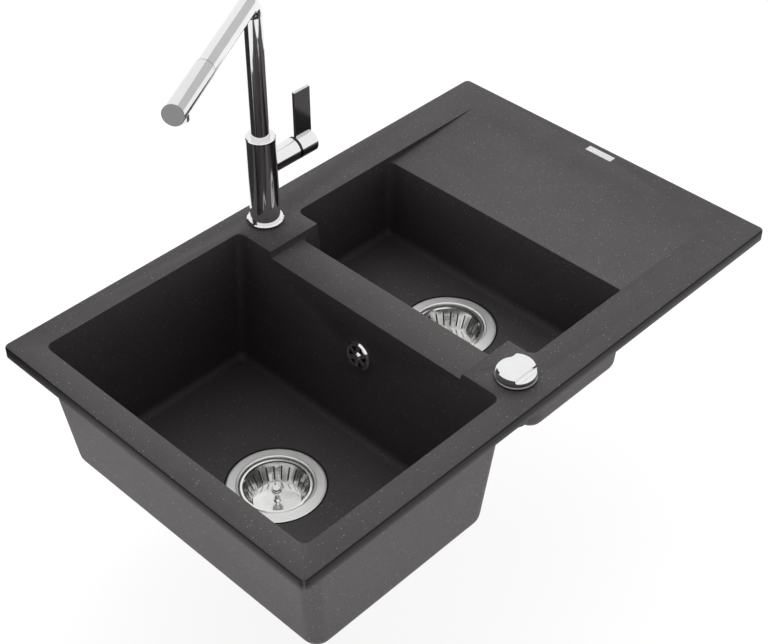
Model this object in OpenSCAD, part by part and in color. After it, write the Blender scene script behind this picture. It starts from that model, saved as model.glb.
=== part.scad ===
// One and a half bowl sink in moulded stone composite, with its mixer tap, two basket
// wastes, overflow and remote waste control. Every piece is modelled by itself.
// The origin is the middle of the rim's footprint, on the worktop. +X runs along the
// sink to the drainer, +Y to the back where the tap stands, and +Z up.

/* [Rim] */
// Length of the sink along the worktop
sink_length = 760; // [720:1:840]
// Depth of the sink from front to back
sink_depth = 480; // [460:1:520]
// Height of the rim above the worktop
rim_height = 14; // [10:0.5:18]
// Radius of the rim's corners, seen from above
rim_corner = 7; // [3:0.5:20]
// Radius of the rim's rounded top edge
rim_edge = 2.5; // [1:0.5:5]
// Width of the rim in front of the bowls
front_rim = 33; // [28:1:40]
// Width of the rim behind the main bowl
back_rim = 34; // [28:1:40]
// Width of the rim beside the main bowl
side_rim = 32; // [26:1:45]

/* [Main bowl] */
// Length of the main bowl's opening along the sink
main_length = 285; // [260:1:300]
// Depth of the main bowl, from the rim's top to its floor
main_depth = 176; // [140:1:210]
// Lean of the main bowl's left and right walls
main_lean_x = 6.5; // [2:0.5:9]
// Lean of the main bowl's front and back walls
main_lean_y = 3.5; // [1:0.5:6]

/* [Half bowl] */
// Width of the lowered divider between the bowls
divider = 49; // [46:1:60]
// How far the divider's top lies under the rim's top
divider_drop = 8; // [4:0.5:10]
// Length of the half bowl's opening along the sink
half_length = 191; // [170:1:205]
// Depth of the half bowl, from the rim's top to its floor
half_depth = 114; // [90:1:140]
// Rim in front of and behind the half bowl
half_rim = 53; // [46:1:64]
// Lean of the half bowl's left and right walls
half_lean_x = 5; // [1:0.5:8]
// Lean of the half bowl's front and back walls
half_lean_y = 1.5; // [1:0.5:6]
// Width of the raised ledges that carry the tap and the control knob
ledge_width = 76; // [72:1:84]
// Reach of each raised ledge from the rim's outer edge
ledge_reach = 88; // [80:1:96]

/* [Bowl walls] */
// Thickness of the moulded walls
wall = 9; // [7:0.5:11]
// Thickness of the bowl floors
floor_wall = 8.5; // [7:0.5:12]
// Radius of the bowls' upright corners
bowl_corner = 9; // [5:0.5:16]
// Radius between the bowl walls and floors
floor_round = 11; // [6:0.5:16]

/* [Drainer] */
// Length of the sloping drainer from the half bowl's edge
drainer_length = 155; // [120:1:160]
// Length of the badge plate
badge_length = 40; // [30:1:50]
// Width of the badge plate
badge_width = 10.5; // [8:0.5:14]
// Thickness of the badge plate
badge_thick = 0.8; // [0.5:0.1:1.5]
// Distance from the badge plate's middle to the rim's right edge
badge_inset = 14; // [10:1:24]

/* [Waste] */
// Outer diameter of the steel waste flange
flange_d = 116; // [112:0.5:120]
// Thickness of the waste flange's plate
flange_thick = 1.4; // [1:0.1:2]
// Diameter of the waste hole in the bowl floor
waste_hole_d = 91; // [90:0.5:93]
// Depth of the strainer cup under the bowl floor
cup_depth = 41; // [38:1:50]
// Diameter of the basket's rolled lip
basket_d = 85; // [80:0.5:86]
// Depth of the basket
basket_depth = 24; // [18:1:28]
// Diameter of the basket's flat floor
basket_floor_d = 56; // [50:1:60]
// Distance that the half bowl's waste lies in front of the bowl's middle
half_waste_shift = 3; // [0:0.5:8]
// Number of slots round the basket
basket_slots = 24; // [12:2:28]
// Outer diameter of the outlet spigots
outlet_d = 47.8; // [40:0.1:50]
// Wall of the outlet spigots
outlet_wall = 3.5; // [2.5:0.5:5]
// Length of the outlet spigots
outlet_length = 34; // [24:1:44]
// Lift of the main basket when the knob is turned
basket_lift = 8; // [5:1:9]

/* [Overflow] */
// Diameter of the overflow rosette
rosette_d = 36.5; // [32:0.5:42]
// Diameter of the overflow hole through the wall
overflow_hole_d = 27; // [24:0.5:30]
// How far the overflow's middle lies under the rim's top, along the wall
overflow_drop = 64; // [58:1:76]

/* [Control knob] */
// Diameter of the control knob
knob_d = 44.5; // [40:0.5:48]
// Height of the knob above its collar
knob_height = 10; // [8:0.5:14]
// Width of the raised bar across the knob's top
grip_w = 27; // [20:0.5:32]
// Step down from the bar to the knob's two low sides
grip_step = 6; // [4:0.5:7]
// Diameter of the knob's collar
collar_d = 48; // [44:0.5:52]
// Diameter of the tap hole and of the knob hole
deck_hole_d = 35; // [34:0.5:37]
// Depth of the round spot face under the tap hole and the knob hole
spot_face = 1; // [0.5:0.5:2]
// Distance from the knob's middle to the main bowl's edge
knob_side = 38.5; // [36:0.5:41]
// Distance from the knob's middle to the front edge
knob_inset = 45; // [42:1:50]

/* [Tap] */
// Distance from the tap's middle to the main bowl's edge
tap_side = 40; // [36:0.5:42]
// Distance from the tap's middle to the back edge
tap_inset = 36; // [33:1:42]
// Diameter of the tap's base ring
base_d = 45; // [42:0.5:50]
// Height of the tap's base ring
base_h = 4; // [2:0.5:8]
// Diameter of the tap's body
body_d = 36.5; // [34:0.5:40]
// Height of the tap's body above the rim
body_h = 120; // [110:1:150]
// Outer diameter of the spout tube
spout_d = 22.5; // [22:0.5:26]
// Wall of the spout tube
spout_wall = 1.5; // [1:0.1:2]
// Height at which the spout's two centre lines meet, above the rim
spout_h = 297; // [280:1:340]
// Radius of the spout's bend
bend_r = 21; // [18:1:32]
// Rise of the spout's arm
arm_rise = 4.5; // [0:0.5:8]
// Length of the arm from the riser's centre line to the head's end
arm_length = 267; // [240:1:300]
// Turn of the arm from the front towards the main bowl, at rest
arm_turn = 58; // [0:0.5:90]
// Diameter of the pull-out spray head
head_d = 23.5; // [23:0.5:28]
// Length of the pull-out spray head
head_length = 98; // [86:1:120]

/* [Lever] */
// Height of the lever's branch above the rim
branch_h = 77; // [60:1:90]
// Diameter of the branch and the lever's hub
branch_d = 28.5; // [27:0.5:32]
// Distance from the tap's middle to the gap between branch and hub
branch_length = 53; // [50:1:66]
// Length of the lever's hub
hub_length = 26; // [24:1:34]
// Height of the lever's blade above the branch's centre line
blade_h = 76; // [60:1:90]
// Thickness of the lever's blade
blade_thick = 4; // [3:0.5:6]

/* [Hidden] */
$fn = 64;

// Clearances: faces that meet, pieces that run in each other, pieces that move past each other
seat = 0.05;
run = 0.06;
clear = 0.3;
// A cut runs this far past the face that it leaves
past = 1;

// The rim's sides
left = -sink_length / 2;
right = sink_length / 2;
front = -sink_depth / 2;
back = sink_depth / 2;
top = rim_height;

// Main bowl opening
main_x0 = left + side_rim;
main_x1 = main_x0 + main_length;
main_y0 = front + front_rim;
main_y1 = back - back_rim;
main_floor = top - main_depth;
main_mid = [(main_x0 + main_x1) / 2, (main_y0 + main_y1) / 2];

// Half bowl opening
half_x0 = main_x1 + divider;
half_x1 = half_x0 + half_length;
half_y0 = front + half_rim;
half_y1 = back - half_rim;
half_floor = top - half_depth;
half_mid = [(half_x0 + half_x1) / 2, (half_y0 + half_y1) / 2 - half_waste_shift];

// The raised ledges between the bowls
ledge_x1 = main_x1 + ledge_width;
front_ledge_y = front + ledge_reach;
back_ledge_y = back - ledge_reach;
ledge_slope = 2;

// The tap and the knob stand on their ledges
tap_at = [main_x1 + tap_side, back - tap_inset];
knob_at = [main_x1 + knob_side, front + knob_inset];
deck_hole_r = deck_hole_d / 2;

// A rounded rectangle with its sides at the given places
module rounded(x0, x1, y0, y1, r) {
    translate([x0 + r, y0]) square([x1 - x0 - 2 * r, y1 - y0]);
    translate([x0, y0 + r]) square([x1 - x0, y1 - y0 - 2 * r]);
    for (x = [x0 + r, x1 - r], y = [y0 + r, y1 - r]) translate([x, y]) circle(r);
}

// A tub with leaning walls and a rounded floor. Its opening lies at z1 and its floor at z0,
// and grow widens it all round by a wall's thickness.
module tub(x0, x1, y0, y1, z0, z1, lean_x, lean_y, corner, round, grow = 0) {
    in_x = (round + (z1 - z0 - round) * sin(lean_x)) / cos(lean_x);
    in_y = (round + (z1 - z0 - round) * sin(lean_y)) / cos(lean_y);
    xs = [x0 - grow, x1 + grow];
    ys = [y0 - grow, y1 + grow];
    hull() {
        for (i = [0, 1], j = [0, 1]) {
            sx = 1 - 2 * i;
            sy = 1 - 2 * j;
            translate([xs[i] + sx * corner, ys[j] + sy * corner, z1 - 0.01])
                cylinder(r = corner, h = 0.01, $fn = 32);
            translate([xs[i] + sx * in_x, ys[j] + sy * in_y, z0 + round])
                sphere(round, $fn = 32);
        }
    }
}

// The rim: a slab with an exact flat underside and a rounded top edge
module rim_slab() {
    linear_extrude(rim_height - rim_edge - past) rounded(left, right, front, back, rim_corner);
    hull() {
        for (x = [left + rim_corner, right - rim_corner]) {
            for (y = [front + rim_corner, back - rim_corner]) {
                translate([x, y, past]) rotate_extrude($fn = 32) {
                    square([rim_corner - rim_edge, top - past]);
                    square([rim_corner, top - rim_edge - past]);
                    translate([rim_corner - rim_edge, top - rim_edge - past]) circle(rim_edge, $fn = 24);
                }
            }
        }
    }
}

module bowl_cavities() {
    tub(main_x0, main_x1, main_y0, main_y1, main_floor, top + 0.02,
        main_lean_x, main_lean_y, bowl_corner, floor_round);
    tub(half_x0, half_x1, front_ledge_y, back_ledge_y, half_floor, top + 0.02,
        half_lean_x, half_lean_y, bowl_corner, floor_round);
    tub(ledge_x1, half_x1, half_y0, half_y1, half_floor, top + 0.02,
        half_lean_x, half_lean_y, bowl_corner, floor_round);
}

module bowl_shells() {
    tub(main_x0, main_x1, main_y0, main_y1, main_floor - floor_wall, top - rim_edge - past,
        main_lean_x, main_lean_y, bowl_corner + wall, floor_round + wall, wall);
    tub(half_x0, half_x1, front_ledge_y, back_ledge_y, half_floor - floor_wall, top - rim_edge - past,
        half_lean_x, half_lean_y, bowl_corner + wall, floor_round + wall, wall);
    tub(ledge_x1, half_x1, half_y0, half_y1, half_floor - floor_wall, top - rim_edge - past,
        half_lean_x, half_lean_y, bowl_corner + wall, floor_round + wall, wall);
}

// The divider's top is cut down between the two ledges, with sloping steps
module divider_cut() {
    z0 = top - divider_drop;
    translate([main_x1 - wall, 0, 0]) rotate([90, 0, 90]) linear_extrude(divider + 2 * wall)
        polygon([
            [front_ledge_y + ledge_slope, z0],
            [back_ledge_y - ledge_slope, z0],
            [back_ledge_y, top],
            [back_ledge_y + past, top + 2 * past],
            [front_ledge_y - past, top + 2 * past],
            [front_ledge_y, top]
        ]);
}

// The drainer slopes down to the half bowl and fades into the rim at its far end
module drainer_cut() {
    x0 = half_x1 - 2 * bowl_corner;
    translate([0, half_y1, 0]) rotate([90, 0, 0]) linear_extrude(half_y1 - half_y0)
        polygon([
            [x0, top - divider_drop],
            [half_x1, top - divider_drop],
            [half_x1 + drainer_length, top],
            [half_x1 + drainer_length, top + past],
            [x0, top + past]
        ]);
}

module waste_hole(at, z) {
    translate([at[0], at[1], z - floor_wall - past]) cylinder(d = waste_hole_d, h = floor_wall + 2 * past);
    translate([at[0], at[1], z - recess]) cylinder(d = flange_d + 2 * clear, h = recess + past);
}

// The flange and its gasket lie in a shallow recess of the floor
gasket_thick = 1.5;
recess = gasket_thick + flange_thick - 0.4;

module sink_body() {
    color("#4a4749")
    difference() {
        union() {
            rim_slab();
            bowl_shells();
        }
        bowl_cavities();
        divider_cut();
        drainer_cut();
        waste_hole(main_mid, main_floor);
        waste_hole(half_mid, half_floor);
        in_wall() cylinder(d = overflow_hole_d, h = 4 * wall, center = true);
        for (at = [tap_at, knob_at]) {
            translate([at[0], at[1], -past]) cylinder(r = deck_hole_r, h = top + 2 * past);
            translate([at[0], at[1], -past]) cylinder(r = washer_r + 2, h = past + spot_face);
        }
        translate([right - badge_inset, 0, top - badge_thick / 2])
            cube([badge_width + 2 * seat, badge_length + 2 * seat, badge_thick], center = true);
    }
}

// A plain plate let into the rim, half its thickness proud
module badge_plate() {
    color("#c9c9c6")
    translate([right - badge_inset, 0, top - badge_thick / 2])
        cube([badge_width, badge_length, badge_thick], center = true);
    color("#c9c9c6")
    translate([right - badge_inset, 0, top + badge_thick / 4])
        cube([badge_width - badge_thick, badge_length - badge_thick, badge_thick / 2], center = true);
}

// Wastes. Heights are counted from the bowl floor.
flange_r = flange_d / 2;
hole_r = waste_hole_d / 2;
cup_wall = 1.2;
cup_r = hole_r - clear - cup_wall;
cup_floor = -cup_depth;
gasket_z = -recess;
flange_z = gasket_z + gasket_thick;
flange_top = flange_z + flange_thick;
lip = 1.6;
basket_r = basket_d / 2;
basket_floor_r = basket_floor_d / 2;
basket_top = -0.6;
basket_bottom = basket_top - basket_depth;
sheet = 1.2;
stem_r = 4;
screw_r = 5;
screw_head_r = 9;
screw_head = 2.5;
pin_r = 2.5;
seal_r = basket_floor_r + 4;
seal_lip = 3;
seal_top = basket_bottom - sheet - 5;
stem_foot = cup_floor + screw_head + 1.2;
under_floor = -floor_wall;
body_top = under_floor - 3;
body_r = hole_r + 3.5;
body_in = hole_r + 0.5;
body_floor = cup_floor - 36;
body_flange = 4;
pot_floor = 3;
outlet_end = body_floor - pot_floor - outlet_length;
boss_r = 9;
boss_top = cup_floor - 7;
boss_h = 10;
port_r = 10;
port_z = body_floor + 13;
stop_wide = 2;
stop_long = 3;

// The steel flange with its deep cup, rolled at the rim and drilled in its floor
module waste_flange() {
    color("#c4c4c2")
    difference() {
        rotate_extrude($fn = 96) polygon([
            [cup_r, flange_z], [cup_r, flange_top + lip / 2], [cup_r + lip, flange_top + lip],
            [cup_r + 2 * lip, flange_top + lip / 2], [flange_r - lip, flange_top],
            [flange_r, flange_z + flange_thick / 2], [flange_r, flange_z],
            [cup_r + cup_wall, flange_z], [cup_r + cup_wall, cup_floor - sheet],
            [screw_r + run, cup_floor - sheet], [screw_r + run, cup_floor], [cup_r, cup_floor]
        ]);
        for (a = [0 : 36 : 359]) rotate(a) translate([basket_floor_r * 0.72, 0, cup_floor - 2 * sheet])
            cylinder(r = 4.5, h = 4 * sheet, $fn = 24);
    }
}

module ring(r_in, r_out, z, h) {
    translate([0, 0, z]) difference() {
        cylinder(r = r_out, h = h);
        translate([0, 0, -past]) cylinder(r = r_in, h = h + 2 * past);
    }
}

module flange_gasket() {
    color("#1c1c1d") ring(hole_r, flange_r - 2, gasket_z, gasket_thick);
}

module waste_gasket() {
    color("#1c1c1d") ring(hole_r + 0.5, body_r + 7, body_top, under_floor - body_top);
}

// The moulded pot under the floor, with a bridge for the screw and the outlet below
module waste_body(with_port) {
    out_r = outlet_d / 2;
    color("#2b2b2d")
    difference() {
        union() {
            ring(body_in, body_r + 7, body_top - body_flange, body_flange);
            difference() {
                translate([0, 0, body_floor - pot_floor])
                    cylinder(r = body_r, h = body_top - body_floor + pot_floor - past);
                translate([0, 0, body_floor]) cylinder(r = body_in, h = body_top - body_floor + past);
            }
            translate([0, 0, outlet_end]) cylinder(r = out_r, h = outlet_length + past);
            if (with_port) {
                translate([body_in, 0, port_z]) rotate([0, 90, 0]) cylinder(r = port_r, h = 26);
                translate([body_r - 2, 0, port_z]) rotate([0, 90, 0])
                    cylinder(r = port_r + stop_wide, h = 2 + stop_long);
            }
            translate([0, 0, boss_top - boss_h]) cylinder(r = boss_r, h = boss_h);
            for (a = [30 : 120 : 359]) rotate(a) translate([0, -2, boss_top - boss_h])
                cube([body_in + 1, 4, boss_h]);
        }
        translate([0, 0, boss_top - boss_h - past]) cylinder(r = screw_r + run, h = boss_h + 2 * past);
        translate([0, 0, outlet_end - past])
            cylinder(r = out_r - outlet_wall, h = outlet_length + pot_floor + 2 * past);
        if (with_port) {
            translate([body_in - 3, 0, port_z]) rotate([0, 90, 0]) cylinder(r = port_r - 2, h = 40);
        }
    }
}

// The long screw that draws the cup and the pot together, hollow where the pin runs in it
module waste_screw(hollow) {
    color("#b9b9b7")
    difference() {
        union() {
            translate([0, 0, cup_floor]) cylinder(r = screw_head_r, h = screw_head);
            translate([0, 0, boss_top - boss_h]) cylinder(r = screw_r, h = cup_floor - boss_top + boss_h);
        }
        if (hollow) {
            translate([0, 0, boss_top - boss_h - past])
                cylinder(r = pin_r + run, h = cup_floor - boss_top + boss_h + screw_head + 2 * past);
        } else {
            translate([-1.5, -screw_head_r, cup_floor + screw_head - 1]) cube([3, 2 * screw_head_r, 2]);
        }
    }
}

// The basket: a rolled lip, a sloping wall with slots, a flat floor and a stem under it
module basket() {
    wall_z = basket_top - 2.4;
    color("#cfcfcd")
    difference() {
        rotate_extrude($fn = 96) polygon([
            [0, basket_bottom - sheet], [basket_floor_r + sheet, basket_bottom - sheet], [basket_r - 3, wall_z],
            [basket_r - 0.6, wall_z], [basket_r, wall_z + 0.8], [basket_r, basket_top - 0.7],
            [basket_r - 1, basket_top], [basket_r - 3.4, basket_top], [basket_r - 4.6, wall_z + 0.8],
            [basket_floor_r, basket_bottom], [0, basket_bottom]
        ]);
        for (i = [0 : basket_slots - 1]) {
            rotate((i + 0.5) * 360 / basket_slots) translate([basket_floor_r - 1, -0.9, basket_bottom + 2.6])
                cube([basket_r - basket_floor_r, 1.8, basket_depth - 8]);
        }
    }
    color("#cfcfcd")
    translate([0, 0, stem_foot]) cylinder(r = stem_r, h = basket_bottom - sheet - stem_foot);
}

module basket_seal() {
    z0 = cup_floor + clear;
    color("#1c1c1d")
    rotate_extrude() polygon([
        [stem_r + seat, seal_top], [seal_r - 2, seal_top], [seal_r, seal_top - 2], [seal_r, z0],
        [seal_r - seal_lip, z0], [seal_r - seal_lip, seal_top - 2], [stem_r + seat, seal_top - 2]
    ]);
}

// The little post by which the basket is lifted out
module basket_knob() {
    color("#dededc")
    rotate_extrude() {
        polygon([
            [0, basket_bottom], [4.4, basket_bottom], [4.4, basket_bottom + 1.2], [2.6, basket_bottom + 2.6],
            [2.2, basket_bottom + 12], [0, basket_bottom + 12]
        ]);
        translate([0, basket_bottom + 15.5]) intersection() {
            circle(6.2);
            translate([0, -7]) square([7, 11.5]);
        }
    }
}

module lift_pin() {
    foot_z = boss_top - boss_h - 1.4;
    color("#b9b9b7")
    union() {
        translate([0, 0, foot_z - 12]) cylinder(r = pin_r, h = stem_foot - clear - foot_z + 12);
        translate([0, 0, foot_z - basket_lift - 5]) cylinder(r = 5, h = 4);
    }
}

module at_main() { translate([main_mid[0], main_mid[1], main_floor]) children(); }
module at_half() { translate([half_mid[0], half_mid[1], half_floor]) children(); }

module main_waste_flange() { at_main() waste_flange(); }
module main_flange_gasket() { at_main() flange_gasket(); }
module main_waste_gasket() { at_main() waste_gasket(); }
module main_waste_body() { at_main() waste_body(true); }
module main_waste_screw() { at_main() waste_screw(true); }
module main_basket() { at_main() basket(); }
module main_basket_seal() { at_main() basket_seal(); }
module main_basket_knob() { at_main() basket_knob(); }
module main_lift_pin() { at_main() lift_pin(); }
module half_waste_flange() { at_half() waste_flange(); }
module half_flange_gasket() { at_half() flange_gasket(); }
module half_waste_gasket() { at_half() waste_gasket(); }
module half_waste_body() { at_half() waste_body(false); }
module half_waste_screw() { at_half() waste_screw(false); }
module half_basket() { at_half() basket(); }
module half_basket_seal() { at_half() basket_seal(); }
module half_basket_knob() { at_half() basket_knob(); }

// Overflow. It sits on the main bowl's divider wall, which leans: in_wall puts +Z along the
// wall's normal into the bowl and +X up the wall, with the wall's face at 0.
module in_wall() {
    translate([main_x1, main_mid[1], top]) rotate([0, main_lean_x - 90, 0])
        translate([-overflow_drop, 0, 0]) children();
}
over_wall = (wall + (rim_edge + past) * tan(main_lean_x)) * cos(main_lean_x);
rosette_r = rosette_d / 2;
over_hole_r = overflow_hole_d / 2;
elbow_r = over_hole_r + 7;
over_gasket = 2;
elbow_wall = 2.5;
elbow_deep = 18;
elbow_pipe_r = 10;
elbow_pipe = 58;

module overflow_rosette() {
    color("#d6d6d4")
    in_wall() difference() {
        rotate_extrude() polygon([
            [0, seat], [rosette_r, seat], [rosette_r, 1], [rosette_r - 2.5, 2.8], [rosette_r - 5, 2.2],
            [6, 2.2], [5, 3], [0, 3]
        ]);
        for (a = [30 : 60 : 359]) rotate(a) translate([5.5, 0, -past]) linear_extrude(6) polygon([
            [1, -0.4], [rosette_r - 11, -3.6], [rosette_r - 11, 3.6], [1, 0.4]
        ]);
        translate([0, 0, -past]) cylinder(r = 2.2 + run, h = 6);
    }
}

module overflow_screw() {
    screw_tip = -over_wall - over_gasket - elbow_wall - 3;
    color("#e2e2e0")
    in_wall() difference() {
        union() {
            translate([0, 0, 3]) cylinder(r = 4, h = 1.4);
            translate([0, 0, screw_tip]) cylinder(r = 2.2, h = 4 - screw_tip);
        }
        translate([-4, -0.5, 3.8]) cube([8, 1, 1]);
    }
}

module overflow_gasket() {
    color("#1c1c1d")
    in_wall() ring(over_hole_r, elbow_r, -over_wall - over_gasket, over_gasket - seat);
}

// The elbow behind the wall: a short chamber with a bridge for the screw and a spigot down
module overflow_elbow() {
    z1 = -over_wall - over_gasket;
    color("#2b2b2d")
    in_wall() difference() {
        union() {
            translate([0, 0, z1 - elbow_wall]) cylinder(r = elbow_r, h = elbow_wall);
            translate([0, 0, z1 - elbow_deep - elbow_wall]) cylinder(r = over_hole_r, h = elbow_deep + elbow_wall);
            translate([0, 0, z1 - elbow_deep / 2 - elbow_wall]) rotate([0, -90, 0])
                cylinder(r = elbow_pipe_r, h = elbow_pipe);
            translate([-elbow_r, 0, z1 - elbow_deep / 2 - elbow_wall]) rotate([0, -90, 0])
                cylinder(r = elbow_pipe_r + stop_wide, h = stop_long);
        }
        difference() {
            translate([0, 0, z1 - elbow_deep]) cylinder(r = over_hole_r - elbow_wall, h = elbow_deep + past);
            translate([-over_hole_r, -2.5, z1 - 6]) cube([2 * over_hole_r, 5, 6 + 2 * past]);
            translate([0, 0, z1 - 6]) cylinder(r = 4.5, h = 6 + 2 * past);
        }
        translate([0, 0, z1 - elbow_deep / 2 - elbow_wall]) rotate([0, -90, 0])
            cylinder(r = elbow_pipe_r - elbow_wall, h = elbow_pipe + past);
        translate([0, 0, z1 - 7]) cylinder(r = 2.2 + run, h = 9);
    }
}

// Control knob. Heights are counted from the rim's top.
collar_h = 2.2;
seal_h = 0.8;
spindle_r = 4;
housing_r = deck_hole_r - clear;
housing_h = 62;
socket_x = 8;
socket_l = 16;
nut_h = 8;
washer_r = 24;
spot_z = spot_face - top;

module at_knob() { translate([knob_at[0], knob_at[1], top]) children(); }
module at_tap() { translate([tap_at[0], tap_at[1], top]) children(); }

// The space beside the knob's bar, with a round hollow at the foot of the step
module grip_cut(length) {
    hollow = grip_step / 2;
    y0 = grip_w / 2;
    rotate([90, 0, 90]) linear_extrude(length) {
        translate([y0 + hollow, 0]) square([length, grip_step + past]);
        translate([y0, hollow]) square([length, grip_step]);
        translate([y0 + hollow, hollow]) circle(hollow);
    }
}

// A round cap with a raised bar across its top, by which it is turned
module control_knob() {
    r = knob_d / 2;
    z0 = seal_h + collar_h + clear;
    color("#d6d6d4")
    at_knob() difference() {
        rotate_extrude($fn = 96) polygon([
            [spindle_r + seat, z0], [r - 0.8, z0], [r, z0 + 0.8], [r, z0 + knob_height - 1.4],
            [r - 1.4, z0 + knob_height], [0, z0 + knob_height], [0, z0 + knob_height - 3],
            [spindle_r + seat, z0 + knob_height - 3]
        ]);
        for (turn = [0, 180]) rotate(turn) translate([-r, 0, z0 + knob_height - grip_step]) grip_cut(2 * r);
    }
}

module control_collar() {
    color("#dededc")
    at_knob() rotate_extrude($fn = 96) polygon([
        [spindle_r + clear, seal_h], [collar_d / 2, seal_h], [collar_d / 2, seal_h + 1.2],
        [collar_d / 2 - 1, seal_h + collar_h], [spindle_r + clear, seal_h + collar_h]
    ]);
}

module control_seal() {
    color("#1c1c1d")
    at_knob() ring(housing_r - 3, collar_d / 2 - 1.5, 0, seal_h);
}

module control_spindle() {
    color("#b9b9b7")
    at_knob() translate([0, 0, -housing_h + 12])
        cylinder(r = spindle_r, h = housing_h - 12 + seal_h + collar_h + clear + knob_height - 3 - seat);
}

// The threaded sleeve under the collar, with the cable drum's case at its foot
module control_housing() {
    color("#2b2b2d")
    at_knob() difference() {
        union() {
            translate([0, 0, -housing_h]) cylinder(r = housing_r, h = housing_h);
            translate([0, 0, -past]) cylinder(r = housing_r - 3 - clear, h = seal_h + past);
            translate([socket_x, 0, -housing_h - socket_l]) cylinder(r = 5, h = socket_l + past);
        }
        translate([0, 0, -housing_h + 12 - clear]) cylinder(r = spindle_r + run, h = housing_h + 5);
        translate([socket_x, 0, -housing_h - socket_l - past]) cylinder(r = 2.5, h = socket_l + 9 + past);
    }
}

module control_nut() {
    color("#2b2b2d")
    at_knob() translate([0, 0, spot_z - nut_h]) difference() {
        cylinder(r = washer_r, h = nut_h, $fn = 6);
        translate([0, 0, -past]) cylinder(r = housing_r + seat, h = nut_h + 2 * past);
    }
}

// Tap. Heights are counted from the rim's top.
base_seal_h = 1;
shank_r = deck_hole_r - 1.5;
shank_bore = 11;
shank_h = 58;
body_r2 = body_d / 2;
spout_r = spout_d / 2;
bearing_wall = 2.2;
body_bore = spout_r + run + bearing_wall;
riser_foot = 40;
bearing_h = 34;
collar_t = 3;

module tap_base_ring() {
    color("#e2e2e0")
    at_tap() rotate_extrude($fn = 96) polygon([
        [shank_bore, base_seal_h], [base_d / 2, base_seal_h], [base_d / 2, base_h - 1.2],
        [base_d / 2 - 1.2, base_h], [shank_bore, base_h]
    ]);
}

module tap_base_seal() {
    color("#1c1c1d")
    at_tap() ring(shank_r + seat, base_d / 2 - 1, 0, base_seal_h);
}

// The upright body and its side branch, bored for the spout and for the cartridge
module tap_body() {
    br = branch_d / 2;
    color("#bdbdbb")
    at_tap() difference() {
        union() {
            translate([0, 0, base_h]) cylinder(r = body_r2, h = body_h - base_h - collar_t, $fn = 96);
            translate([0, 0, branch_h]) rotate([0, 90, 0]) cylinder(r = br, h = branch_length - dome_h - clear);
        }
        translate([0, 0, base_h - past]) cylinder(r = shank_bore, h = body_h);
        translate([0, 0, riser_foot - clear]) cylinder(r = body_bore, h = body_h);
        translate([body_r2 - 2, 0, branch_h]) rotate([0, 90, 0]) cylinder(r = cart_r + seat, h = branch_length);
        translate([0, 0, branch_h]) rotate([0, 90, 0]) cylinder(r = 4, h = body_r2);
    }
}

// The threaded shank under the deck, and the rings and nut that hold it
module tap_shank() {
    color("#b08d57")
    at_tap() difference() {
        union() {
            translate([0, 0, -shank_h]) cylinder(r = shank_r, h = shank_h + base_seal_h);
            translate([0, 0, -past]) cylinder(r = shank_bore - seat, h = base_h + 8 + past);
        }
        translate([0, 0, -shank_h - past]) cylinder(r = shank_bore - 2.5, h = shank_h + 20);
    }
}

module shank_rubber_washer() {
    color("#1c1c1d") at_tap() ring(shank_r + seat, washer_r, spot_z - 3, 3);
}

module shank_metal_washer() {
    color("#c4c4c2") at_tap() ring(shank_r + seat, washer_r, spot_z - 5, 2);
}

module shank_nut() {
    color("#b08d57")
    at_tap() translate([0, 0, spot_z - 5 - nut_h]) difference() {
        cylinder(r = washer_r - 1, h = nut_h, $fn = 6);
        translate([0, 0, -past]) cylinder(r = shank_r + seat, h = nut_h + 2 * past);
    }
}

// Spout. in_plane turns to the arm's heading, with +X along the arm, and along_arm has +Z
// along the arm's centre line, counted from the bend's centre point.
turned = 90 - arm_rise;
tangent = bend_r * tan(turned / 2);
riser_end = spout_h - tangent;
bend_draw = 0.1;
seam = arm_length - head_length;

module in_plane() { at_tap() rotate(-90 - arm_turn) children(); }
module along_arm() {
    in_plane() translate([0, 0, spout_h]) rotate([0, turned, 0]) children();
}

// A bent bar: the riser, a part of a ring and the arm, which meet face to face. The metal
// is drawn a hair thinner where it is bent.
module bent_bar(r, z0, z1) {
    span = 2 * (bend_r + r);
    lap = 0.2;
    in_plane() union() {
        translate([0, 0, z0]) cylinder(r = r, h = riser_end - z0);
        translate([bend_r, 0, riser_end]) rotate([90, 0, 0]) rotate([0, 0, 180 - turned]) intersection() {
            rotate_extrude($fn = 96) translate([bend_r, 0]) circle(r - bend_draw);
            translate([0, 0, -spout_d]) linear_extrude(2 * spout_d)
                polygon([
                    [0, 0], [span, -lap], [span, span], [span * cos(turned) - lap, span * sin(turned)]
                ]);
        }
        translate([0, 0, spout_h]) rotate([0, turned, 0])
            translate([0, 0, tangent]) cylinder(r = r, h = z1 - tangent);
    }
}

module spout_tube() {
    color("#c8c8c6")
    difference() {
        bent_bar(spout_r, riser_foot, seam - clear);
        bent_bar(spout_r - spout_wall, riser_foot - past, seam + past);
    }
}

module spout_collar() {
    color("#e2e2e0")
    at_tap() rotate_extrude($fn = 96) polygon([
        [spout_r + seat, body_h - collar_t + clear], [body_r2, body_h - collar_t + clear],
        [body_r2, body_h - 1], [body_r2 - 1, body_h], [spout_r + seat, body_h]
    ]);
}

module spout_bearing() {
    color("#e8e6df")
    at_tap() ring(spout_r + run, body_bore - seat, body_h - collar_t - bearing_h, bearing_h - clear);
}

// Spray head. Its aerator looks down from the underside, near the end.
head_r = head_d / 2;
cap_t = 1.6;
neck = 16;
aerator_r = 8.5;
aerator_back = 17;
hose_r = 5.5;
hose_l = 96;

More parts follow.
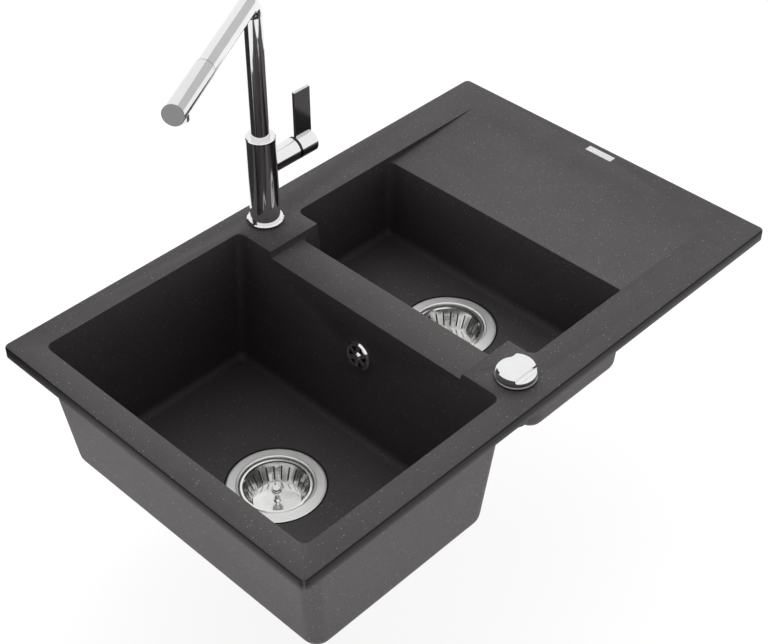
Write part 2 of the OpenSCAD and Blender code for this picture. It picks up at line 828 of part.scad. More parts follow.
module spray_head() {
    bore = spout_r - spout_wall;
    color("#c8c8c6")
    along_arm() difference() {
        union() {
            translate([0, 0, seam]) cylinder(r = head_r, h = head_length - cap_t);
            translate([0, 0, seam - neck]) cylinder(r = bore - run, h = neck + past);
            translate([0, 0, arm_length - aerator_back]) rotate([0, 90, 0])
                cylinder(r = aerator_r + 1.5, h = head_r + 1.6);
        }
        translate([0, 0, seam - neck - past]) cylinder(r = hose_r + seat, h = neck + past + 6);
        translate([0, 0, seam + 14]) cylinder(r = 6, h = head_length - 14 - cap_t - 4);
        translate([0, 0, arm_length - aerator_back]) rotate([0, 90, 0])
            cylinder(r = aerator_r + seat, h = head_r + 8);
    }
}

module spray_head_cap() {
    color("#8d8d8c")
    along_arm() translate([0, 0, arm_length - cap_t]) rotate_extrude($fn = 64) polygon([
        [0, 0], [head_r, 0], [head_r, cap_t - 0.6], [head_r - 0.6, cap_t], [0, cap_t]
    ]);
}

module spray_hose() {
    color("#6d6d6e")
    along_arm() translate([0, 0, seam + 5 - hose_l]) cylinder(r = hose_r, h = hose_l);
}

module aerator() {
    color("#e8e6df")
    along_arm() translate([0, 0, arm_length - aerator_back]) rotate([0, 90, 0]) difference() {
        translate([0, 0, head_r - 7]) cylinder(r = aerator_r, h = 7);
        for (ring_r = [2.4, 5.2]) for (a = [0 : 45 : 359]) rotate(a + ring_r * 5)
            translate([ring_r, 0, head_r - 2]) cylinder(r = 0.6, h = 4, $fn = 16);
    }
}

module aerator_ring() {
    color("#e2e2e0")
    along_arm() translate([0, 0, arm_length - aerator_back]) rotate([0, 90, 0])
        ring(aerator_r - 1.5, aerator_r - seat, head_r + seat, 2.2);
}

// Lever. Its cartridge lies in the branch, and the hub rocks on a ball-shaped end.
dome_r = 20;
branch_r = branch_d / 2;
dome_h = 3.2;
rock_x = branch_length - sqrt(dome_r * dome_r - branch_r * branch_r);
cart_r = 11.6;
ball_r = 5.6;
lever_stem_r = 3.4;
rotor_z0 = rock_x - ball_r - clear - 2;
rotor_z1 = branch_length - dome_h - 2 * clear;
max_tilt = 22;
hub_end = branch_length + hub_length;
stem_end = hub_end - 8;
blade_foot = 7;

// along_branch has +Z along the branch's centre line, counted from the tap's middle
module along_branch() { at_tap() translate([0, 0, branch_h]) rotate([0, 90, 0]) children(); }

module cartridge_body() {
    color("#3d6fa8")
    along_branch() difference() {
        translate([0, 0, body_r2 - 2 + seat]) cylinder(r = cart_r, h = rotor_z0 - clear - body_r2 + 2 - seat);
        for (x = [-5, 5]) translate([x, 0, 0]) cylinder(r = 2.5, h = body_r2 + 8, $fn = 24);
    }
}

// The dome that closes the branch and holds the cartridge
module cartridge_nut() {
    r_in = ball_r + 5;
    color("#dededc")
    along_branch() difference() {
        intersection() {
            translate([0, 0, branch_length - dome_h - clear + seat]) cylinder(r = branch_r, h = dome_r);
            translate([0, 0, rock_x]) sphere(dome_r, $fn = 96);
        }
        translate([0, 0, rock_x]) cylinder(r = r_in, h = dome_r + past);
    }
}

module cartridge_rotor() {
    slot = lever_stem_r + clear;
    reach = 1.3 * (rotor_z1 - rock_x);
    color("#e8e6df")
    along_branch() difference() {
        translate([0, 0, rotor_z0]) cylinder(r = cart_r - run, h = rotor_z1 - rotor_z0);
        translate([0, 0, rock_x]) sphere(ball_r + clear);
        hull() for (lean = [0, max_tilt]) {
            translate([0, 0, rock_x]) rotate([0, lean, 0]) cylinder(r = slot, h = reach, $fn = 32);
        }
    }
}

module lever_stem() {
    color("#b9b9b7")
    along_branch() union() {
        translate([0, 0, rock_x]) sphere(ball_r);
        translate([0, 0, rock_x]) cylinder(r = lever_stem_r, h = stem_end - rock_x);
    }
}

// The hub, hollowed to the dome's ball shape, with a slot for the blade's foot
module lever_hub() {
    color("#c8c8c6")
    along_branch() difference() {
        union() {
            translate([0, 0, rock_x + ball_r]) cylinder(r = branch_r, h = hub_end - 1 - rock_x - ball_r, $fn = 96);
            translate([0, 0, hub_end - 1 - past]) cylinder(r = branch_r - 1, h = 1 + past, $fn = 96);
        }
        translate([0, 0, rock_x]) sphere(dome_r + clear, $fn = 96);
        translate([0, 0, rock_x]) cylinder(r = lever_stem_r + seat, h = stem_end + seat - rock_x);
        translate([-branch_r - past, -blade_thick / 2 - seat, branch_length - past])
            cube([branch_r - blade_foot + past, blade_thick + 2 * seat, hub_length + 2 * past]);
        translate([0, 0, branch_length + hub_length / 2]) rotate([0, 90, 0]) cylinder(r = 2.1, h = branch_r + past, $fn = 24);
    }
}

module lever_blade() {
    color("#5b5b5d")
    along_branch() difference() {
        translate([-blade_h, -blade_thick / 2, branch_length + 0.6])
            cube([blade_h - blade_foot - seat, blade_thick, hub_length - 1.4]);
        translate([0, 0, rock_x]) sphere(dome_r + clear, $fn = 96);
    }
}

module lever_screw() {
    color("#b9b9b7")
    along_branch() translate([0, 0, branch_length + hub_length / 2]) rotate([0, 90, 0])
        translate([0, 0, lever_stem_r + seat]) cylinder(r = 2, h = branch_r - lever_stem_r - 1.5, $fn = 24);
}

sink_body();
badge_plate();
main_waste_flange();
main_flange_gasket();
main_waste_gasket();
main_waste_body();
main_waste_screw();
main_basket();
main_basket_seal();
main_basket_knob();
main_lift_pin();
half_waste_flange();
half_flange_gasket();
half_waste_gasket();
half_waste_body();
half_waste_screw();
half_basket();
half_basket_seal();
half_basket_knob();
overflow_rosette();
overflow_screw();
overflow_gasket();
overflow_elbow();
control_knob();
control_collar();
control_seal();
control_spindle();
control_housing();
control_nut();
tap_base_ring();
tap_base_seal();
tap_body();
tap_shank();
shank_rubber_washer();
shank_metal_washer();
shank_nut();
spout_collar();
spout_bearing();
spout_tube();
spray_head();
spray_head_cap();
spray_hose();
aerator();
aerator_ring();
cartridge_body();
cartridge_nut();
cartridge_rotor();
lever_stem();
lever_hub();
lever_blade();
lever_screw();
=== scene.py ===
# %% [markdown]
# # A one and a half bowl kitchen sink
# The solids of this sink come from a CAD program: every piece is already there, in its real
# size and place. Blender's work is the looks. This file goes through it in small steps, and
# each step says what the real thing is like before it makes it.

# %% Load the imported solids
import math
import bpy
from mathutils import Matrix, Vector


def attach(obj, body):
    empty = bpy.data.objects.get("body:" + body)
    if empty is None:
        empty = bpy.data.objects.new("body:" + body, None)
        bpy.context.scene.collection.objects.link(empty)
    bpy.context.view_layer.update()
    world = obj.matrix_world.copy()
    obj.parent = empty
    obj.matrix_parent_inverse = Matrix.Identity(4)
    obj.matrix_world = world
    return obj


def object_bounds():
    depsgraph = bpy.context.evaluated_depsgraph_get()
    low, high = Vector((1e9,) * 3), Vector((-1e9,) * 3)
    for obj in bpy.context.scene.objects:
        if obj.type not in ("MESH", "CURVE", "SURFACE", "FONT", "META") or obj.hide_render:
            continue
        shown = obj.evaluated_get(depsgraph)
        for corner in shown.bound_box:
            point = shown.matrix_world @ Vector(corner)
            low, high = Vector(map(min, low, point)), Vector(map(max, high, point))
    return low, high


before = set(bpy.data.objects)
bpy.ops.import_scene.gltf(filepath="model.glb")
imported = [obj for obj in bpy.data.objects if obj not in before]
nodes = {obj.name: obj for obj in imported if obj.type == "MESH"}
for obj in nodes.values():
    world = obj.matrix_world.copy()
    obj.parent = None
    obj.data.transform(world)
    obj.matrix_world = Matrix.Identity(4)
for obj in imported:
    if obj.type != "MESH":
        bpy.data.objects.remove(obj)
cad_box = [list(corner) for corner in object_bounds()]
print("nodes:", len(nodes), "box:", cad_box)

# %% [markdown]
# ## The camera
# The photograph was taken from the front left and above, not quite two metres away. A camera
# is a place, a direction and a lens. It could be moved by hand until the picture fits. Here
# the four straight edges of the rim have known lengths, so all three were worked out from
# them, and they are only written down. The small shift puts the middle of the lens where the
# photograph has it.

# %% Place the camera
AZIMUTH = math.radians(-45.829)
ELEVATION = math.radians(40.790)
CAMERA_PLACE = (-1.00748, -0.96294, 1.15920)

camera_data = bpy.data.cameras.new("camera")
camera_data.sensor_width = 36
camera_data.lens = 73.742
camera_data.shift_x = -0.00883
camera_data.shift_y = 0.00065
camera_data.clip_start = 0.05
camera_data.clip_end = 100
camera = bpy.data.objects.new("camera", camera_data)
bpy.context.scene.collection.objects.link(camera)
bpy.context.scene.camera = camera
right = Vector((math.cos(AZIMUTH), math.sin(AZIMUTH), 0))
back = Vector((
    math.sin(AZIMUTH) * math.cos(ELEVATION),
    -math.cos(AZIMUTH) * math.cos(ELEVATION),
    math.sin(ELEVATION),
))
up = back.cross(right)
turn = Matrix((right, up, back)).transposed().to_4x4()
camera.matrix_world = Matrix.Translation(CAMERA_PLACE) @ turn
print("camera at", [round(part, 3) for part in camera.location])

# %% [markdown]
# ## Small helpers for the materials
# A material in Blender is a little machine of nodes, joined by links. The nodes can be laid
# out by hand in the editor, but code says the same in fewer words and can be read again. Two
# helpers start a material and add one node with its settings. The others are short names for
# the nodes that nearly every finish needs.

# %% Start a material and add a node
def start_material(name):
    material = bpy.data.materials.new(name)
    material.use_nodes = True
    tree = material.node_tree
    tree.nodes.clear()
    output = tree.nodes.new("ShaderNodeOutputMaterial")
    shader = tree.nodes.new("ShaderNodeBsdfPrincipled")
    tree.links.new(shader.outputs[0], output.inputs[0])
    return material, tree, shader


def add(tree, kind, values=None, **settings):
    made = tree.nodes.new("ShaderNode" + kind)
    for key, value in settings.items():
        setattr(made, key, value)
    for key, value in (values or {}).items():
        if isinstance(value, bpy.types.NodeSocket):
            tree.links.new(value, made.inputs[key])
        else:
            made.inputs[key].default_value = value
    return made


print("two helpers for nodes")


# %% Short names for numbers and places
def maths(tree, operation, a, b=0.0):
    return add(tree, "Math", {0: a, 1: b}, operation=operation).outputs[0]


def vector_maths(tree, operation, a, b=(0, 0, 0), result="Vector"):
    return add(tree, "VectorMath", {0: a, 1: b}, operation=operation).outputs[result]


def place_on_part(tree):
    return add(tree, "TexCoord").outputs["Object"]


def split(tree, vector):
    return tuple(add(tree, "SeparateXYZ", {0: vector}).outputs)


def join(tree, x, y, z=0.0):
    return add(tree, "CombineXYZ", {0: x, 1: y, 2: z}).outputs[0]


print("five helpers for numbers and places")


# %% Short names for patterns and colours
def noise(tree, place, scale, detail, roughness):
    values = {"Vector": place, "Scale": scale, "Detail": detail, "Roughness": roughness}
    return add(tree, "TexNoise", values).outputs[0]


def ramp(tree, value, low, high, at_low=0.0, at_high=1.0):
    return add(tree, "MapRange", {0: value, 1: low, 2: high, 3: at_low, 4: at_high}).outputs[0]


def blend(tree, share, a, b):
    return add(tree, "Mix", {0: share, 6: a, 7: b}, data_type="RGBA").outputs[2]


def rgba(colour, brightness=1.0):
    return tuple(brightness * part for part in colour) + (1,)


def set_colour(tree, shader, colour):
    tree.links.new(colour, shader.inputs["Base Color"])


def set_roughness(tree, shader, roughness):
    tree.links.new(roughness, shader.inputs["Roughness"])


def fine_bump(tree, shader, height, strength, depth):
    bump = add(tree, "Bump", {"Strength": strength, "Distance": depth, "Height": height})
    tree.links.new(bump.outputs[0], shader.inputs["Normal"])


print("seven helpers for patterns and colours")

# %% [markdown]
# ## Stone composite
# The sink is moulded from quartz sand in black resin. From a step away it is an even dark
# grey, close up it has grains of about half a millimetre, and here and there a golden or a
# pale flake shines out. A picture of such stone would have to be wrapped round the bowls and
# would blur close up. Patterns worked out from the place on the part do neither. Noise gives
# the grains, and a slower noise gives clouds. The flakes come from a cell pattern: a dot in
# the middle of a cell, and only in a few of the cells.

# %% Scatter flakes over the stone
def flakes(tree, place, scale, share, size):
    cells = add(tree, "TexVoronoi", {"Vector": place, "Scale": scale}, feature="F1")
    near_middle = maths(tree, "LESS_THAN", cells.outputs["Distance"], size)
    chance = add(tree, "SeparateColor", {0: cells.outputs["Color"]}).outputs[0]
    chosen = maths(tree, "LESS_THAN", chance, share)
    return maths(tree, "MULTIPLY", near_middle, chosen)


print("flakes ready")

# %% [markdown]
# Two places of the stone are painted nearly black as shade. Round the outside of the rim a dark
# band of painted shade lies on the rim's side, darkest towards its top, and round each waste's
# flange a thin dark ring of painted shade stands for the gap of a shallow seat. Both are found by
# where a point lies, which needs no painting by hand.

# %% Find the painted shade on the rim's edge and round the flanges
RIM_X = cad_box[1][0]
RIM_Y = cad_box[1][1]
# Width of the painted shade on the rim's edge, inward from the rim's outer side.
RIM_SHADE_BAND = 0.0014
MAIN_WASTE = (-0.2055, -0.0005, -0.162)
HALF_WASTE = (0.0815, -0.003, -0.100)
FLANGE_R = max(corner.co.x for corner in nodes["main_waste_flange"].data.vertices) - MAIN_WASTE[0]
# Width and height of the painted shade ring round each waste's flange.
GAP_SHADE_WIDTH = 0.0024
GAP_SHADE_HEIGHT = 0.004
print("flange radius:", round(FLANGE_R, 4))


# Painted shade: a dark band on the outside of the rim, darkest towards the top of its side.
def rim_shade_mask(tree, place):
    x, y, z = split(tree, place)
    at_end = maths(tree, "GREATER_THAN", maths(tree, "ABSOLUTE", x), RIM_X - RIM_SHADE_BAND)
    at_side = maths(tree, "GREATER_THAN", maths(tree, "ABSOLUTE", y), RIM_Y - RIM_SHADE_BAND)
    outside = maths(tree, "MAXIMUM", at_end, at_side)
    shade = ramp(tree, z, 0.001, 0.008, at_low=0.35)
    return maths(tree, "MULTIPLY", outside, shade)


# Painted shade: a thin dark ring round a waste's flange, standing for the gap of its seat.
def gap_shade_mask(tree, place, centre):
    from_centre = vector_maths(tree, "SUBTRACT", place, centre)
    flat = vector_maths(tree, "MULTIPLY", from_centre, (1, 1, 0))
    radius = vector_maths(tree, "LENGTH", flat, result="Value")
    near = maths(tree, "LESS_THAN", radius, FLANGE_R + GAP_SHADE_WIDTH)
    low = maths(tree, "LESS_THAN", split(tree, from_centre)[2], GAP_SHADE_HEIGHT)
    return maths(tree, "MULTIPLY", near, low)


# %% [markdown]
# Now the layers go on top of each other: resin and sand, clouds, a fine mottle, golden flakes,
# pale flakes, painted shade round the flanges and on the rim's edge. The grains also change the
# roughness and raise a very fine bump, because a grain of sand stands a little proud of the resin.

# %% Make the stone composite
RESIN = (0.053, 0.047, 0.049, 1)
SAND = (0.146, 0.130, 0.134, 1)
CLOUD = (0.066, 0.058, 0.060, 1)
MOTTLE = (0.040, 0.035, 0.036, 1)
GOLD_FLAKE = (0.34, 0.29, 0.20, 1)
PALE_FLAKE = (0.29, 0.27, 0.26, 1)
# Painted shade for the gap round each flange.
PAINTED_GAP_SHADE = (0.008, 0.008, 0.008, 1)
# Painted shade for the rim's outer edge.
PAINTED_RIM_SHADE = (0.012, 0.011, 0.011, 1)


def make_stone():
    material, tree, shader = start_material("stone_composite")
    place = place_on_part(tree)
    grains = noise(tree, place, scale=1500, detail=3, roughness=0.7)
    colour = blend(tree, ramp(tree, grains, 0.32, 0.72), RESIN, SAND)
    clouds = noise(tree, place, scale=26, detail=4, roughness=0.6)
    colour = blend(tree, ramp(tree, clouds, 0.35, 0.65, at_high=0.28), colour, CLOUD)
    mottle = noise(tree, place, scale=480, detail=2, roughness=0.6)
    colour = blend(tree, ramp(tree, mottle, 0.38, 0.62, at_high=0.26), colour, MOTTLE)
    gold = flakes(tree, place, scale=240, share=0.28, size=0.14)
    colour = blend(tree, gold, colour, GOLD_FLAKE)
    pale = flakes(tree, place, scale=320, share=0.12, size=0.13)
    colour = blend(tree, pale, colour, PALE_FLAKE)
    # Painted shade round each waste's flange.
    for centre in (MAIN_WASTE, HALF_WASTE):
        colour = blend(tree, gap_shade_mask(tree, place, centre), colour, PAINTED_GAP_SHADE)
    # Painted shade on the rim's outer edge.
    colour = blend(tree, rim_shade_mask(tree, place), colour, PAINTED_RIM_SHADE)
    set_colour(tree, shader, colour)
    set_roughness(tree, shader, ramp(tree, grains, 0.3, 0.7, 0.62, 0.46))
    shader.inputs["Specular IOR Level"].default_value = 0.19
    fine_bump(tree, shader, grains, strength=0.22, depth=0.0004)
    return material


stone = make_stone()
print("made", stone.name)

# %% [markdown]
# ## Chrome
# The tap, the knob and the rosette are polished chrome: almost a mirror. A perfect mirror
# looks computed, so a noise puts the faintest haze of water marks in its roughness and tint.
# The steel of the strainer baskets is the same with more haze. A fine dark line of painted shade
# marks the seam where the spray head parts from the spout: it is the first millimetre of the head
# beyond the spout's mouth, and the part of the head inside the arm is painted dark with it.

# %% Make the chrome finishes
ARM = Vector((-0.8454, -0.5283, 0.0785)).normalized()
MOUTH = max(corner.co.dot(ARM) for corner in nodes["spout_tube"].data.vertices)
SEAM_SHADE_WIDTH = 0.0010
# Painted shade for the seam between spray head and spout.
PAINTED_SEAM_SHADE = (0.03, 0.03, 0.03, 1)
print("spout's mouth along the arm at", round(MOUTH, 4))


def make_chrome(name, colour, rough_low, rough_high, seam_shade=False):
    material, tree, shader = start_material(name)
    place = place_on_part(tree)
    haze = noise(tree, place, scale=55, detail=4, roughness=0.6)
    set_roughness(tree, shader, ramp(tree, haze, 0.35, 0.7, rough_low, rough_high))
    shade = blend(tree, ramp(tree, haze, 0.3, 0.7), rgba(colour), rgba(colour, 0.95))
    # Painted shade: dark up to a millimetre past the spout's mouth, the head's part inside the arm too.
    if seam_shade:
        along = vector_maths(tree, "DOT_PRODUCT", place, ARM, result="Value")
        in_seam_shade = maths(tree, "LESS_THAN", along, MOUTH + SEAM_SHADE_WIDTH)
        shade = blend(tree, in_seam_shade, shade, PAINTED_SEAM_SHADE)
    set_colour(tree, shader, shade)
    shader.inputs["Metallic"].default_value = 1
    return material


chrome = make_chrome("polished_chrome", (0.86, 0.86, 0.87), 0.035, 0.085)
blade_chrome = make_chrome("blade_chrome", (0.66, 0.66, 0.68), 0.08, 0.14)
polished_steel = make_chrome("polished_steel", (0.80, 0.80, 0.79), 0.10, 0.20)
spout_chrome = make_chrome("spout_chrome", (0.84, 0.84, 0.85), 0.035, 0.07)
head_chrome = make_chrome("head_chrome", (0.80, 0.80, 0.81), 0.035, 0.07, seam_shade=True)
# Grey satin chrome: the spray head's cap has this grey, and on the control collar it is painted shade
# under the knob.
satin_cap_and_collar_shade = make_chrome("satin_cap_and_collar_shade", (0.25, 0.25, 0.25), 0.28, 0.36)
black_chrome = make_chrome("black_chrome", (0.04, 0.04, 0.042), 0.15, 0.25)
print("chrome finishes: 7")

# %% [markdown]
# ## Brushed steel
# The flanges of the wastes are brushed in circles, and the little badge plate and the washer
# lengthwise. A brushed surface is a noise that is stretched very far one way. For circles the
# noise gets the angle round the waste, which changes slowly, and the radius, which changes
# fast. That follows the flange, where a straight pattern would cut across it.

# %% Make the brushed steels
ACROSS_SCRATCHES = 900
ROUND_SCRATCHES = 2.5


def lines_round(tree, place, centre):
    x, y, z = split(tree, vector_maths(tree, "SUBTRACT", place, centre))
    radius = vector_maths(tree, "LENGTH", join(tree, x, y), result="Value")
    across = maths(tree, "MULTIPLY", radius, ACROSS_SCRATCHES)
    around = maths(tree, "MULTIPLY", maths(tree, "ARCTAN2", y, x), ROUND_SCRATCHES)
    down = maths(tree, "MULTIPLY", z, ACROSS_SCRATCHES)
    return join(tree, across, around, down)


def brushed(name, colour, rough_low, rough_high, centre=None, stretch=None):
    material, tree, shader = start_material(name)
    place = place_on_part(tree)
    if centre:
        lines = lines_round(tree, place, centre)
    else:
        lines = add(tree, "Mapping", {"Vector": place, "Scale": stretch}).outputs[0]
    scratch = noise(tree, lines, scale=1.0, detail=5, roughness=0.65)
    set_colour(tree, shader, blend(tree, ramp(tree, scratch, 0.3, 0.7), rgba(colour, 0.90), rgba(colour)))
    set_roughness(tree, shader, ramp(tree, scratch, 0.3, 0.7, rough_low, rough_high))
    shader.inputs["Metallic"].default_value = 1
    fine_bump(tree, shader, scratch, strength=0.05, depth=0.0001)
    return material


main_flange_steel = brushed("main_flange_steel", (0.97, 0.97, 0.96), 0.5, 0.62, centre=MAIN_WASTE)
half_flange_steel = brushed("half_flange_steel", (0.97, 0.97, 0.96), 0.5, 0.62, centre=HALF_WASTE)
washer_steel = brushed("washer_steel", (0.66, 0.66, 0.65), 0.20, 0.34, stretch=(900, 60, 900))
badge_steel = brushed("badge_steel", (0.90, 0.90, 0.89), 0.20, 0.34, stretch=(1400, 40, 1400))
print("brushed steels: 4")

# %% [markdown]
# ## Brass, rubber and plastic
# Under the worktop the tap ends in a turned brass shank, with brown stains where hands held it
# and fine marks of the lathe. The marks are a noise that is pressed flat, which is enough for
# something so fine. Rubber seals are matte and a little dusty. The pots and pipes are black
# moulded plastic with a fine spark texture from the mould. Rubber and plastic differ only in
# their numbers, so one function makes both.

# %% Make brass and the turned sleeve
LATHE_MARKS = (60, 60, 3200)


def turned(name, colour, metallic, rough_low, rough_high):
    material, tree, shader = start_material(name)
    place = place_on_part(tree)
    stains = noise(tree, place, scale=90, detail=5, roughness=0.6)
    set_colour(tree, shader, blend(tree, ramp(tree, stains, 0.3, 0.7), rgba(colour), rgba(colour, 0.72)))
    set_roughness(tree, shader, ramp(tree, stains, 0.3, 0.7, rough_low, rough_high))
    shader.inputs["Metallic"].default_value = metallic
    rings = add(tree, "Mapping", {"Vector": place, "Scale": LATHE_MARKS}).outputs[0]
    marks = noise(tree, rings, scale=1.0, detail=3, roughness=0.6)
    fine_bump(tree, shader, marks, strength=0.15, depth=0.0001)
    return material


shank_brass = turned("shank_brass", (0.62, 0.46, 0.22), 1.0, 0.24, 0.42)
sleeve_plastic = turned("sleeve_plastic", (0.030, 0.030, 0.032), 0.0, 0.42, 0.55)
print("turned finishes: 2")


# %% Make rubber and moulded plastics
def moulded(name, colour, rough_low, rough_high, grain, depth):
    material, tree, shader = start_material(name)
    place = place_on_part(tree)
    spark = noise(tree, place, scale=grain, detail=2, roughness=0.5)
    dust = noise(tree, place, scale=35, detail=5, roughness=0.6)
    dusty = tuple(min(1.0, 1.25 * part + 0.006) for part in colour)
    set_colour(tree, shader, blend(tree, ramp(tree, dust, 0.35, 0.7), rgba(colour), rgba(dusty)))
    set_roughness(tree, shader, ramp(tree, dust, 0.3, 0.7, rough_low, rough_high))
    fine_bump(tree, shader, spark, strength=0.25, depth=depth)
    return material


seal_rubber = moulded("seal_rubber", (0.022, 0.022, 0.023), 0.62, 0.80, 900, 0.0002)
pot_plastic = moulded("pot_plastic", (0.030, 0.030, 0.032), 0.40, 0.52, 1800, 0.0002)
pale_plastic = moulded("pale_plastic", (0.74, 0.73, 0.69), 0.34, 0.46, 1500, 0.0001)
blue_plastic = moulded("blue_plastic", (0.06, 0.16, 0.36), 0.34, 0.46, 1500, 0.0001)
print("rubber and plastics: 4")

# %% [markdown]
# ## Braided hose
# Inside the spout's arm lies the pull-out hose, covered in a braid of grey threads. Each
# thread could be a curve of its own, but the hose is seen only when the head is pulled out.
# Two sets of diagonal waves, one multiplied by the other, make the small diamonds of a braid.

# %% Make the hose braid
BRAID_WAVES = 4200
DARK_THREAD = (0.08, 0.08, 0.085, 1)
PALE_THREAD = (0.34, 0.34, 0.35, 1)


def make_braid():
    material, tree, shader = start_material("hose_braid")
    place = place_on_part(tree)
    waves = []
    for lean in (1, -1):
        turned_place = add(tree, "Mapping", {"Vector": place, "Rotation": (0, 0.7 * lean, 0.9 * lean)})
        across = split(tree, turned_place.outputs[0])[0]
        waves.append(maths(tree, "SINE", maths(tree, "MULTIPLY", across, BRAID_WAVES)))
    weave = maths(tree, "MULTIPLY", waves[0], waves[1])
    set_colour(tree, shader, blend(tree, ramp(tree, weave, -1.0, 1.0), DARK_THREAD, PALE_THREAD))
    shader.inputs["Roughness"].default_value = 0.5
    fine_bump(tree, shader, weave, strength=0.5, depth=0.0004)
    return material


hose_braid = make_braid()
print("made", hose_braid.name)

# %% [markdown]
# ## Which piece has which finish
# Every solid gets one of the finishes. They could be given one by one, in fifty lines. The
# list is written by finish, as a parts list would be, so that a piece left out is easy to see.

# %% Give each piece its finish
finish_list = {
    stone: ["sink_body"],
    badge_steel: ["badge_plate"],
    main_flange_steel: ["main_waste_flange"],
    half_flange_steel: ["half_waste_flange"],
    washer_steel: ["shank_metal_washer"],
    polished_steel: [
        "main_basket", "half_basket", "main_basket_knob", "half_basket_knob", "main_waste_screw",
        "half_waste_screw", "main_lift_pin", "control_spindle", "lever_stem", "lever_screw",
    ],
    chrome: [
        "overflow_rosette", "overflow_screw", "control_knob", "tap_base_ring", "tap_body",
        "spout_collar", "aerator_ring", "lever_hub",
    ],
    spout_chrome: ["spout_tube"],
    head_chrome: ["spray_head"],
    black_chrome: ["cartridge_nut"],
    blade_chrome: ["lever_blade"],
    # The control collar's dark grey is painted shade under the knob.
    satin_cap_and_collar_shade: ["spray_head_cap", "control_collar"],
    shank_brass: ["tap_shank", "shank_nut"],
    sleeve_plastic: ["control_housing"],
    seal_rubber: [
        "main_flange_gasket", "main_waste_gasket", "half_flange_gasket", "half_waste_gasket",
        "main_basket_seal", "half_basket_seal", "overflow_gasket", "control_seal",
        "tap_base_seal", "shank_rubber_washer",
    ],
    pot_plastic: ["main_waste_body", "half_waste_body", "overflow_elbow", "control_nut"],
    pale_plastic: ["spout_bearing", "aerator", "cartridge_rotor"],
    blue_plastic: ["cartridge_body"],
    hose_braid: ["spray_hose"],
}
finished = []
for finish, names in finish_list.items():
    for name in names:
        mesh = nodes[name].data
        mesh.materials.clear()
        mesh.materials.append(finish)
        finished.append(name)
print("finished:", len(finished), "left over:", sorted(set(nodes) - set(finished)))

# %% [markdown]
# ## Screw threads
# The brass shank of the tap and the black sleeve of the knob carry a screw thread for their
# nuts. A thread is one long ridge with a pointed section that climbs round the rod, by one
# pitch in each turn. The screw modifier can wind one too, but point by point the two ends can
# run out into the rod, as a cut thread does. The foot of the ridge is sunk a little into the
# rod, so that no gap shows.

# %% Wind the screw threads
STEPS_A_TURN = 48
SUNK = 0.0002


def mesh_object(name, points, faces):
    mesh = bpy.data.meshes.new(name)
    mesh.from_pydata(points, [], faces)
    mesh.update()
    made = bpy.data.objects.new(name, mesh)
    bpy.context.scene.collection.objects.link(made)
    return made


def wind_thread(name, centre, radius, low, high, pitch, depth):
    rows = int((high - low - pitch) / pitch * STEPS_A_TURN)
    inner = radius - SUNK
    points = []
    faces = [(0, 1, 2)]
    for row in range(rows):
        angle = 2 * math.pi * row / STEPS_A_TURN
        height = low + pitch * row / STEPS_A_TURN
        run_out = min(1.0, (row + 4) / STEPS_A_TURN, (rows + 3 - row) / STEPS_A_TURN)
        crest = inner + (depth + SUNK) * run_out
        for reach, rise in ((inner, 0.06), (crest, 0.5), (inner, 0.94)):
            x = centre[0] + reach * math.cos(angle)
            y = centre[1] + reach * math.sin(angle)
            points.append((x, y, height + rise * pitch))
        if row:
            new = 3 * row
            old = new - 3
            for side, other in ((0, 1), (1, 2), (2, 0)):
                faces.append((old + side, new + side, new + other, old + other))
    faces.append((3 * rows - 3, 3 * rows - 1, 3 * rows - 2))
    thread = mesh_object(name, points, faces)
    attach(thread, "sink")
    print(name, "turns:", round(rows / STEPS_A_TURN, 1))
    return thread


shank_thread = wind_thread(
    "shank_thread", centre=(-0.023, 0.204), radius=0.016,
    low=-0.0435, high=-0.0125, pitch=0.0015, depth=0.0007)
shank_thread.data.materials.append(shank_brass)
sleeve_thread = wind_thread(
    "sleeve_thread", centre=(-0.0245, -0.195), radius=0.0172,
    low=-0.0475, high=-0.0075, pitch=0.0025, depth=0.0009)
sleeve_thread.data.materials.append(sleeve_plastic)

# %% [markdown]
# ## Soft edges
# Nothing real has a knife edge. On the stone, each edge is broken by about a millimetre, and
# that is what catches the light along the bowls. The solid itself is left as it is. A bevel
# modifier cuts the edges, after the flat faces have been put together from their triangles,
# so that the bevel runs clean. The other pieces only need smooth faces between sharp edges.

# %% Smooth the faces and break the edges
SHARP_ANGLE = math.radians(32)
BEVEL_WIDTH = 0.0012
BEVEL_ANGLE = math.radians(35)
FLAT_ANGLE = math.radians(0.6)
WELD_DISTANCE = 0.00001


def smooth_faces(mesh):
    mesh.polygons.foreach_set("use_smooth", [True] * len(mesh.polygons))
    mesh.set_sharp_from_angle(angle=SHARP_ANGLE)


def break_edges(piece):
    weld = piece.modifiers.new("weld", "WELD")
    weld.merge_threshold = WELD_DISTANCE
    planar = piece.modifiers.new("planar", "DECIMATE")
    planar.decimate_type = "DISSOLVE"
    planar.angle_limit = FLAT_ANGLE
    bevel = piece.modifiers.new("bevel", "BEVEL")
    bevel.width = BEVEL_WIDTH
    bevel.segments = 2
    bevel.limit_method = "ANGLE"
    bevel.angle_limit = BEVEL_ANGLE
    bevel.harden_normals = True


for name in sorted(nodes):
    smooth_faces(nodes[name].data)
break_edges(nodes["sink_body"])
print("smoothed:", len(nodes))

# %% [markdown]
# ## The sky
# The photograph has one wide soft light, high up behind the sink. It skims over the rim and
# leaves the bowls dark, because the walls that we see face away from it. An area lamp could
# do that, but its edge would show in the chrome. So the sky itself is bright on that side.
# What the camera and the chrome see of it is plain white.

# %% Light the sky
LIGHT_FROM = Vector((0.60, 0.58, 0.55)).normalized()
LIGHT_FOCUS = 3.0
BEHIND = 3.3
AROUND = 0.7
OVERHEAD = 0.04
WHITE = (1, 1, 1, 1)


